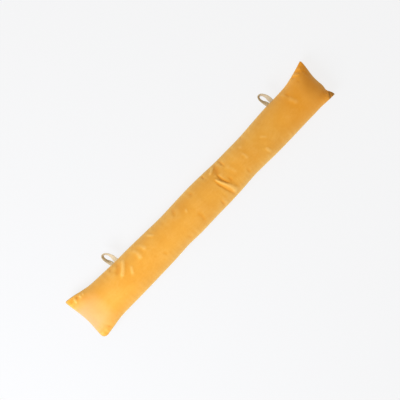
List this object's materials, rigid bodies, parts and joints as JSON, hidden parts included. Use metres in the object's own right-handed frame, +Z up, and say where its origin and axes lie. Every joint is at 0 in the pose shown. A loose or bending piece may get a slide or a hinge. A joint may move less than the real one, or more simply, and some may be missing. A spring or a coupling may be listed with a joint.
{
  "type": "draught excluder",
  "caption": "Long filled velvet tube cushion with knife-edge seams and tape hanging loops in one long seam, laid against the foot of a door to stop draughts.",
  "frame": {"origin": "middle of the flat underside, on the surface that the cushion lies on", "axes": "+X along the cushion, +Y towards the long seam that holds the tape loops, +Z up"},
  "size_m": [0.896, 0.1599, 0.0715],
  "materials": {
    "velvet": "mustard cotton velvet, short soft pile with a pale sheen along its edges",
    "tape": "matt cream woven tape"
  },
  "bodies": {
    "root": {"velvet_cushion": "velvet", "tape_loop_left": "tape", "tape_loop_right": "tape"}
  },
  "joints": []
}
